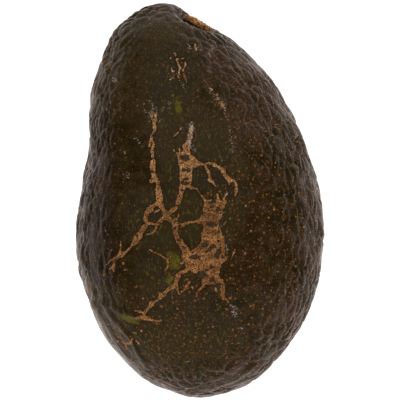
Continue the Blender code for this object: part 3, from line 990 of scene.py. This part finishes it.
# ---------------------------------------------------------------- the dry end of the stalk
def make_stem_plug():
    """The dry end of the stalk: a crumbly cork disc, worn round at its rim."""
    deselect_all()
    facing = Vector(STEM_OUT).to_track_quat("Z", "Y")
    bpy.ops.mesh.primitive_cylinder_add(
        vertices=64,
        radius=PLUG_RADIUS * MM,
        depth=PLUG_THICKNESS * MM,
        location=STEM_AT + STEM_OUT * ((PLUG_FACE - PLUG_THICKNESS / 2) * MM),
        rotation=facing.to_euler(),
    )
    plug = bpy.context.object
    plug.name = "stem_plug"
    plug.data.name = "stem_plug"
    bpy.ops.object.transform_apply(location=True, rotation=True, scale=True)
    bpy.ops.object.mode_set(mode="EDIT")
    bpy.ops.mesh.bevel(offset=PLUG_ROUNDING * MM, segments=3, affect="EDGES")
    bpy.ops.object.mode_set(mode="OBJECT")
    remesh = plug.modifiers.new("even crumbs", "REMESH")
    remesh.mode = "VOXEL"
    remesh.voxel_size = PLUG_CELL * MM
    apply_modifier(plug, remesh)
    points = read_points(plug)
    normals = read_normals(plug)
    crumbs = lumps(points, CRUMB * MM, 8.0) + CRUMB_DETAIL * lumps(points, CRUMB / 2 * MM, 9.0)
    dents = np.maximum(lumps(points, DENT_WIDTH * MM, 5.0), 0)
    swells = lumps(points, PLUG_SWELL_WIDTH * MM, 6.0)
    rise = CRUMB_HEIGHT * crumbs - DENT_DEPTH * dents + PLUG_SWELL * swells
    points += normals * (rise * MM)[:, None]
    height = off_stem_axis(points)[1]
    axis = STEM_AT + np.outer(height, STEM_OUT)
    below = smooth_step(0.0, PLUG_CAP_EDGE, PLUG_FACE - PLUG_CAP - height / MM)
    points = axis + (points - axis) * (1 - (1 - PLUG_WAIST) * below)[:, None]
    write_points(plug, points)
    store(plug, "wax_gap", np.full(len(points), GAP_SPAN[1]))
    stain = STAIN * lumps(points, STAIN_WIDTH * MM, 7.0)
    face = smooth_step(*PLUG_BLEACHED, height / MM + stain)
    sides, more = PLUG_DRYNESS
    store(plug, "dryness", sides + more * face)
    plug.data.shade_smooth()
    return plug


# ---------------------------------------------------------------- materials
FROM, UPTO, LEAST, MOST = 1, 2, 3, 4  # a Map Range's sockets: the span it reads and gives
OVER = 7  # a Mix's second colour, laid over the first
COARSE = 11.1  # the patches of ground colour
MOTTLE = 3.33
GRAIN = 0.4545  # the leathery speckle, the wax's crumbs and the jitter of the pores
STROKES = 0.5  # fine strokes of green, as wide as this and 2.5 times as long
CORK_CRUMB = 0.4
CORK_BAND = 1.43
CORK_CRACK = 1.92
WANDER = 3.85  # of the striations round the rim

# Pores come in three sizes of cell: (cell, least and greatest radius as a share of it,
# how many show where they are few and where they are many).
PORES = (
    (2.63, 0.05, 0.12, -0.9, 0.4),
    (1.5625, 0.07, 0.16, -0.9, 0.25),
    (0.667, 0.1, 0.15, -1.0, -0.5),
)


def rind_ground(tree, fields, broad, mottle, speck):
    """Grey-brown at both ends, olive round the middle, all mottled, with painted shade darkening the
    left side and more its left rim.
    """
    ends, right = (
        add_node(tree, "ShaderNodeValToRGB", stops=stops, Fac=broad).outputs[0]
        for stops in (
            ((0.36, "#3a331b"), (0.64, "#4d3c2d")),
            ((0.38, "#2f2503"), (0.62, "#3c2b0b")),
        )
    )
    middle = add_node(
        tree, "ShaderNodeMix", {"data_type": "RGBA", OVER: linear("#322601")},
        _0=fields["leftness"], _6=right,
    ).outputs[2]
    ground = add_node(
        tree, "ShaderNodeMix", {"data_type": "RGBA"}, _0=fields["belt"], _6=ends, _7=middle
    ).outputs[2]
    greyer = add_node(
        tree, "ShaderNodeMapRange", {FROM: 0.48, UPTO: 0.62, MOST: 0.65}, _0=mottle
    ).outputs[0]
    ground = add_node(
        tree, "ShaderNodeMix", {"data_type": "RGBA", OVER: linear("#46382c")}, _0=greyer, _6=ground
    ).outputs[2]
    darker = add_node(
        tree, "ShaderNodeMapRange", {FROM: 0.5, UPTO: 0.36, LEAST: 1.0, MOST: 0.66}, _0=mottle
    ).outputs[0]
    ground = add_node(
        tree, "ShaderNodeVectorMath", {"operation": "SCALE"}, _0=ground, Scale=darker
    ).outputs[0]
    # Painted shade: the ground is made darker and browner on the left and at its left rim, where less
    # light falls.
    for name, hex_colour in (("leftness", "#e9e3aa"), ("left_rim_shade", "#f4e4bc")):
        ground = add_node(
            tree,
            "ShaderNodeMix",
            {"data_type": "RGBA", "blend_type": "MULTIPLY", OVER: linear(hex_colour)},
            _0=fields[name],
            _6=ground,
        ).outputs[2]
    specks = add_node(
        tree, "ShaderNodeMapRange", {FROM: 0.36, UPTO: 0.64, LEAST: 0.5, MOST: 1.48}, _0=speck
    ).outputs[0]
    ground = add_node(
        tree, "ShaderNodeVectorMath", {"operation": "SCALE"}, _0=ground, Scale=specks
    ).outputs[0]
    return ground


def rind_tints(tree, ground, fields, broad, place):
    """Among the scar's strands the ground turns olive or slate, with yellow-green strokes."""
    drawn_out = add_node(
        tree, "ShaderNodeVectorMath", {"operation": "MULTIPLY", 1: (1.0, 0.4, 1.0)}, _0=place
    ).outputs[0]
    stroke = add_node(
        tree, "ShaderNodeTexNoise", {"Scale": per(STROKES), "Detail": 1.0}, Vector=drawn_out
    ).outputs[0]
    among = add_node(
        tree, "ShaderNodeMapRange", {FROM: 2.8, UPTO: -2.0}, _0=fields["tint_gap"]
    ).outputs[0]
    for pattern, span, hex_colour in (
        (broad, {FROM: 0.4, UPTO: 0.62, LEAST: 0.2, MOST: 0.8}, "#403a20"),
        (broad, {FROM: 0.56, UPTO: 0.38, MOST: 0.6}, "#3c352b"),
        (stroke, {FROM: 0.57, UPTO: 0.7, MOST: 0.68}, "#6c6022"),
    ):
        share = add_node(tree, "ShaderNodeMapRange", span, _0=pattern).outputs[0]
        share = add_node(
            tree, "ShaderNodeMath", {"operation": "MULTIPLY"}, _0=share, _1=among
        ).outputs[0]
        ground = add_node(
            tree, "ShaderNodeMix", {"data_type": "RGBA", OVER: linear(hex_colour)},
            _0=share, _6=ground,
        ).outputs[2]
    return ground


def rind_green(tree, ground, fields, wander, speck):
    """Patches of green rind, with edges that wander."""
    green = add_node(
        tree, "ShaderNodeMath", {"operation": "ADD"}, _0=fields["green_gap"], _1=wander
    ).outputs[0]
    green = add_node(
        tree, "ShaderNodeMapRange", {FROM: 0.25, UPTO: -0.35, MOST: 0.85}, _0=green
    ).outputs[0]
    rind = add_node(
        tree, "ShaderNodeValToRGB", stops=((0.38, "#565018"), (0.62, "#7c7628")), Fac=speck
    ).outputs[0]
    ground = add_node(
        tree, "ShaderNodeMix", {"data_type": "RGBA"}, _0=green, _6=ground, _7=rind
    ).outputs[2]
    return ground


def rind_bloom_and_sheen(tree, ground, fields, mottle):
    """A pale bloom of wax low on the sides, its pale colour partly a painted sheen where the rim turns
    away.
    """
    cloudy = add_node(
        tree, "ShaderNodeMapRange", {FROM: 0.35, UPTO: 0.65, LEAST: 0.42, MOST: 0.85}, _0=mottle
    ).outputs[0]
    cloudy = add_node(
        tree, "ShaderNodeMath", {"operation": "MULTIPLY"}, _0=cloudy, _1=fields["bloom_and_sheen"]
    ).outputs[0]
    # Painted sheen: a pale grey laid over the ground where the bloom lies.
    ground = add_node(
        tree, "ShaderNodeMix", {"data_type": "RGBA", OVER: linear("#8e8276")}, _0=cloudy, _6=ground
    ).outputs[2]
    return ground


def rind_pores(tree, ground, fields, place):
    """Round crumbs of cork stand in the pores, each of its own size and brown."""
    jitter = add_node(
        tree, "ShaderNodeTexNoise", {"Scale": per(GRAIN), "Detail": 1.0}, Vector=place
    ).outputs["Color"]
    uneven = add_node(
        tree, "ShaderNodeVectorMath", {"operation": "MULTIPLY_ADD", 1: (0.4 * MM,) * 3},
        _0=jitter, _2=fields["unrolled"],
    ).outputs[0]
    for cell, least, most, few, many in PORES:
        cells = add_node(
            tree, "ShaderNodeTexVoronoi", {"voronoi_dimensions": "2D", "Scale": per(cell)},
            Vector=uneven,
        )
        chance = add_node(tree, "ShaderNodeSeparateColor", Color=cells.outputs["Color"]).outputs
        share = add_node(
            tree, "ShaderNodeMapRange", {LEAST: few, MOST: many}, _0=fields["pores"]
        ).outputs[0]
        shown = add_node(
            tree, "ShaderNodeMath", {"operation": "ADD", "use_clamp": True}, _0=chance[0], _1=share
        ).outputs[0]
        strength = add_node(tree, "ShaderNodeMapRange", {UPTO: 0.6, MOST: 0.85}, _0=shown).outputs[0]
        width = add_node(
            tree, "ShaderNodeMapRange", {LEAST: least, MOST: most}, _0=chance[2]
        ).outputs[0]
        inside = add_node(
            tree, "ShaderNodeMath", {"operation": "SUBTRACT"}, _0=width, _1=cells.outputs["Distance"]
        ).outputs[0]
        dot = add_node(tree, "ShaderNodeMapRange", {FROM: -0.03, UPTO: 0.02}, _0=inside).outputs[0]
        dot = add_node(
            tree, "ShaderNodeMath", {"operation": "MULTIPLY"}, _0=dot, _1=strength
        ).outputs[0]
        hue = add_node(
            tree,
            "ShaderNodeValToRGB",
            stops=((0.0, "#66561c"), (0.3, "#7e5020"), (0.65, "#9a602a"), (0.95, "#b67a42"),
                   (1.0, "#c49868")),
            Fac=chance[1],
        ).outputs[0]
        ground = add_node(
            tree, "ShaderNodeMix", {"data_type": "RGBA"}, _0=dot, _6=ground, _7=hue
        ).outputs[2]
    return ground


def rind_round_the_scar(tree, ground, fields, wander, speck):
    """A dark line hems the scar as a painted shadow where the crust meets the skin, and the skin in its
    islands is greyer and mottled.
    """
    # Painted shadow: the skin is darkened in a thin line along the crust's edge.
    hem_shadow = add_node(
        tree, "ShaderNodeMapRange", {FROM: 0.55, UPTO: 0.05, MOST: 0.6}, _0=fields["scar_gap"]
    ).outputs[0]
    ground = add_node(
        tree, "ShaderNodeMix", {"data_type": "RGBA", OVER: linear("#2a1f10")}, _0=hem_shadow, _6=ground
    ).outputs[2]
    island = add_node(
        tree, "ShaderNodeMath", {"operation": "MULTIPLY_ADD", 1: 0.35},
        _0=wander, _2=fields["island_gap"],
    ).outputs[0]
    island = add_node(
        tree, "ShaderNodeMapRange", {FROM: 0.5, UPTO: 0.0, MOST: 0.9}, _0=island
    ).outputs[0]
    grey = add_node(
        tree, "ShaderNodeValToRGB", stops=((0.35, "#34291d"), (0.6, "#5c4c3a")), Fac=speck
    ).outputs[0]
    ground = add_node(
        tree, "ShaderNodeMix", {"data_type": "RGBA"}, _0=island, _6=ground, _7=grey
    ).outputs[2]
    return ground


def rind_wax(tree, ground, fields, speck):
    """Wax and the rubbed streak: pale scale that breaks up into crumbs."""
    crumb = add_node(
        tree, "ShaderNodeMapRange", {FROM: 0.35, UPTO: 0.65, LEAST: -1.0, MOST: 1.0}, _0=speck
    ).outputs[0]
    for name, spread, low, high, most, hex_colour in (
        ("streak_gap", 1.0, -0.2, -0.5, 0.7, "#b4936c"),
        ("wax_gap", 0.65, 0.0, -0.5, 0.75, "#c9c2bc"),
    ):
        gap = add_node(
            tree, "ShaderNodeMath", {"operation": "MULTIPLY_ADD", 1: spread},
            _0=crumb, _2=fields[name],
        ).outputs[0]
        mask = add_node(
            tree, "ShaderNodeMapRange", {FROM: low, UPTO: high, MOST: most}, _0=gap
        ).outputs[0]
        ground = add_node(
            tree, "ShaderNodeMix", {"data_type": "RGBA", OVER: linear(hex_colour)},
            _0=mask, _6=ground,
        ).outputs[2]
    return ground


def rind_relief(tree, fields, speck, place):
    """A crisp furrow between pebbles, fine striations round the rim, and a grain all over."""
    furrow = add_node(
        tree, "ShaderNodeMapRange", {UPTO: 0.2}, _0=fields["inside_pebble"]
    ).outputs[0]
    sway = add_node(
        tree, "ShaderNodeTexNoise", {"Scale": per(WANDER), "Detail": 2.0}, Vector=place
    ).outputs["Color"]
    swayed = add_node(
        tree, "ShaderNodeVectorMath", {"operation": "MULTIPLY_ADD", 1: (6.0 * MM,) * 3},
        _0=sway, _2=fields["round_the_rim"],
    ).outputs[0]
    wrinkle = add_node(
        tree, "ShaderNodeTexNoise", {"Scale": per(WANDER), "Detail": 1.0}, Vector=swayed
    ).outputs[0]
    wrinkle = add_node(
        tree, "ShaderNodeMath", {"operation": "SUBTRACT", 1: 0.5}, _0=wrinkle
    ).outputs[0]
    wrinkle = add_node(tree, "ShaderNodeMath", {"operation": "ABSOLUTE"}, _0=wrinkle).outputs[0]
    wrinkle = add_node(tree, "ShaderNodeMapRange", {UPTO: 0.07}, _0=wrinkle).outputs[0]
    rough = add_node(
        tree, "ShaderNodeMapRange", {LEAST: 0.8, MOST: 0.2}, _0=fields["bloom_and_sheen"]
    ).outputs[0]
    surface = None
    for height, strength, depth in (
        (furrow, fields["rugged"], 0.08 * MM),
        (wrinkle, fields["steepness"], 0.08 * MM),
        (speck, rough, 0.04 * MM),
    ):
        bump = add_node(tree, "ShaderNodeBump", {"Distance": depth}, Height=height, Strength=strength)
        if surface:
            tree.links.new(surface, bump.inputs["Normal"])
        surface = bump.outputs[0]
    return surface


def skin_material():
    """Fresh avocado rind: leathery, with a thin coat of natural wax.

    The wax gives a soft sheen only where the skin turns away. The ground is olive and brown
    in fine mottles, with round crumbs of cork in its pores, green rind in a few places,
    flakes of whitish wax, and fine striations where the skin is steep.
    """
    material = bpy.data.materials.new("waxy_rind")
    material.use_nodes = True
    tree = material.node_tree
    shader = tree.nodes["Principled BSDF"]
    shader.inputs["Roughness"].default_value = 0.22
    shader.inputs["Specular IOR Level"].default_value = 0.08
    place = add_node(tree, "ShaderNodeTexCoord").outputs["Object"]
    fields = {}
    for name in (
        "scar_gap", "island_gap", "green_gap", "wax_gap", "streak_gap", "tint_gap", "pores",
        "belt", "leftness", "left_rim_shade", "bloom_and_sheen", "steepness", "inside_pebble", "rugged",
    ):
        fields[name] = add_node(tree, "ShaderNodeAttribute", {"attribute_name": name}).outputs["Fac"]
    for name in ("round_the_rim", "unrolled"):
        fields[name] = add_node(
            tree, "ShaderNodeAttribute", {"attribute_name": name}
        ).outputs["Vector"]
    broad, mottle, speck = (
        add_node(tree, "ShaderNodeTexNoise", {"Scale": per(size), **detail}, Vector=place).outputs[0]
        for size, detail in (
            (COARSE, {"Detail": 2.0}),
            (MOTTLE, {"Detail": 4.0}),
            (GRAIN, {"Detail": 2.0, "Roughness": 0.6}),
        )
    )
    wander = add_node(
        tree, "ShaderNodeMapRange", {FROM: 0.3, UPTO: 0.7, LEAST: -0.9, MOST: 0.9}, _0=mottle
    ).outputs[0]
    ground = rind_ground(tree, fields, broad, mottle, speck)
    ground = rind_tints(tree, ground, fields, broad, place)
    ground = rind_green(tree, ground, fields, wander, speck)
    ground = rind_bloom_and_sheen(tree, ground, fields, mottle)
    ground = rind_pores(tree, ground, fields, place)
    ground = rind_round_the_scar(tree, ground, fields, wander, speck)
    ground = rind_wax(tree, ground, fields, speck)
    tree.links.new(ground, shader.inputs["Base Color"])
    tree.links.new(rind_relief(tree, fields, speck, place), shader.inputs["Normal"])
    return material


def cork_material():
    """Dry cork, as it grew: a matt, crumbly tissue.

    It shows pale crumbs with dark gaps between them, in bands of lighter and darker brown,
    with fine cracks. Where it is drier it is bleached, and wax leaves whitish flakes on it.
    """
    material = bpy.data.materials.new("dry_cork_tissue")
    material.use_nodes = True
    tree = material.node_tree
    shader = tree.nodes["Principled BSDF"]
    shader.inputs["Roughness"].default_value = 0.85
    shader.inputs["Specular IOR Level"].default_value = 0.2
    place = add_node(tree, "ShaderNodeTexCoord").outputs["Object"]
    jitter = add_node(
        tree, "ShaderNodeTexNoise", {"Scale": per(CORK_CRUMB), "Detail": 1.0}, Vector=place
    ).outputs["Color"]
    uneven = add_node(
        tree, "ShaderNodeVectorMath", {"operation": "MULTIPLY_ADD", 1: (0.6 * MM,) * 3},
        _0=jitter, _2=place,
    ).outputs[0]
    crumbs = add_node(
        tree, "ShaderNodeTexVoronoi", {"Scale": per(CORK_CRUMB)}, Vector=uneven
    ).outputs["Distance"]
    tone = add_node(
        tree,
        "ShaderNodeValToRGB",
        stops=((0.05, "#e6bc8e"), (0.35, "#c08c58"), (0.6, "#9a6838"), (0.9, "#6a4624")),
        Fac=crumbs,
    ).outputs[0]
    stretched = add_node(
        tree, "ShaderNodeVectorMath", {"operation": "MULTIPLY", 1: (0.35, 1.0, 1.0)}, _0=place
    ).outputs[0]
    bands = add_node(
        tree, "ShaderNodeTexNoise", {"Scale": per(CORK_BAND), "Detail": 2.0}, Vector=stretched
    ).outputs[0]
    cracks = add_node(
        tree, "ShaderNodeTexVoronoi", {"feature": "DISTANCE_TO_EDGE", "Scale": per(CORK_CRACK)},
        Vector=uneven,
    ).outputs["Distance"]
    for pattern, span in (
        (bands, {FROM: 0.35, UPTO: 0.65, LEAST: 0.7, MOST: 1.3}),
        (cracks, {FROM: 0.02, UPTO: 0.1, LEAST: 0.62, MOST: 1.0}),
    ):
        shade = add_node(tree, "ShaderNodeMapRange", span, _0=pattern).outputs[0]
        tone = add_node(
            tree, "ShaderNodeVectorMath", {"operation": "SCALE"}, _0=tone, Scale=shade
        ).outputs[0]
    dry = add_node(tree, "ShaderNodeAttribute", {"attribute_name": "dryness"}).outputs["Fac"]
    bleached = add_node(
        tree, "ShaderNodeVectorMath", {"operation": "MULTIPLY", 1: (1.33, 1.5, 1.75)}, _0=tone
    ).outputs[0]
    tone = add_node(
        tree, "ShaderNodeMix", {"data_type": "RGBA"}, _0=dry, _6=tone, _7=bleached
    ).outputs[2]
    flake = add_node(
        tree, "ShaderNodeTexNoise", {"Scale": per(GRAIN), "Detail": 2.0, "Roughness": 0.6},
        Vector=place,
    ).outputs[0]
    flake = add_node(
        tree, "ShaderNodeMapRange", {FROM: 0.35, UPTO: 0.65, LEAST: -1.0, MOST: 1.0}, _0=flake
    ).outputs[0]
    wax = add_node(tree, "ShaderNodeAttribute", {"attribute_name": "wax_gap"}).outputs["Fac"]
    wax = add_node(
        tree, "ShaderNodeMath", {"operation": "MULTIPLY_ADD", 1: 0.65}, _0=flake, _2=wax
    ).outputs[0]
    wax = add_node(tree, "ShaderNodeMapRange", {FROM: 0.1, UPTO: -0.5, MOST: 0.85}, _0=wax).outputs[0]
    tone = add_node(
        tree, "ShaderNodeMix", {"data_type": "RGBA", OVER: linear("#e0dcd4")}, _0=wax, _6=tone
    ).outputs[2]
    tree.links.new(tone, shader.inputs["Base Color"])
    bump = add_node(
        tree, "ShaderNodeBump", {"Strength": 0.8, "Distance": 0.15 * MM, "invert": True},
        Height=crumbs,
    ).outputs[0]
    tree.links.new(bump, shader.inputs["Normal"])
    return material


def table_material():
    """Opal acrylic lit from below, as on a light table: an even white with no shadow."""
    material = bpy.data.materials.new("opal_acrylic")
    material.use_nodes = True
    shader = material.node_tree.nodes["Principled BSDF"]
    shader.inputs["Base Color"].default_value = linear("#c0c0c0")
    shader.inputs["Emission Color"].default_value = linear("#fff6f4")
    shader.inputs["Emission Strength"].default_value = 1.2
    return material


# ---------------------------------------------------------------- table, light and camera
def make_table():
    deselect_all()
    bpy.ops.mesh.primitive_plane_add(size=TABLE_SIZE)
    table = bpy.context.object
    table.name = "light_table"
    table.data.materials.append(table_material())
    return table


def light_the_studio():
    """Soft light from all round, brightest from halfway up."""
    world = bpy.data.worlds.new("studio")
    bpy.context.scene.world = world
    world.use_nodes = True
    tree = world.node_tree
    direction = add_node(tree, "ShaderNodeTexCoord").outputs["Generated"]
    up = add_node(tree, "ShaderNodeSeparateXYZ", Vector=direction).outputs["Z"]
    ramp = add_node(tree, "ShaderNodeValToRGB", stops=SKY, Fac=up)
    tree.links.new(ramp.outputs[0], tree.nodes["Background"].inputs["Color"])


def set_camera():
    data = bpy.data.cameras.new("camera")
    data.lens = CAMERA_LENS
    data.sensor_width = CAMERA_SENSOR
    camera = bpy.data.objects.new("camera", data)
    camera.location = Vector(EYE) * MM
    bpy.context.collection.objects.link(camera)
    bpy.context.scene.camera = camera


def main():
    form = smooth_form()
    skin = make_skin(form)
    skin.data.materials.append(skin_material())
    bpy.data.objects.remove(form)
    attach(skin, "root")
    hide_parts("fruit_body")
    crust = make_crust(skin)
    crust.data.materials.append(cork_material())
    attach(crust, "root")
    plug = make_stem_plug()
    plug.data.materials.append(cork_material())
    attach(plug, "root")
    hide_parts("stem_button")
    make_table()
    light_the_studio()
    set_camera()
    bpy.context.scene.view_settings.view_transform = "Standard"


main()
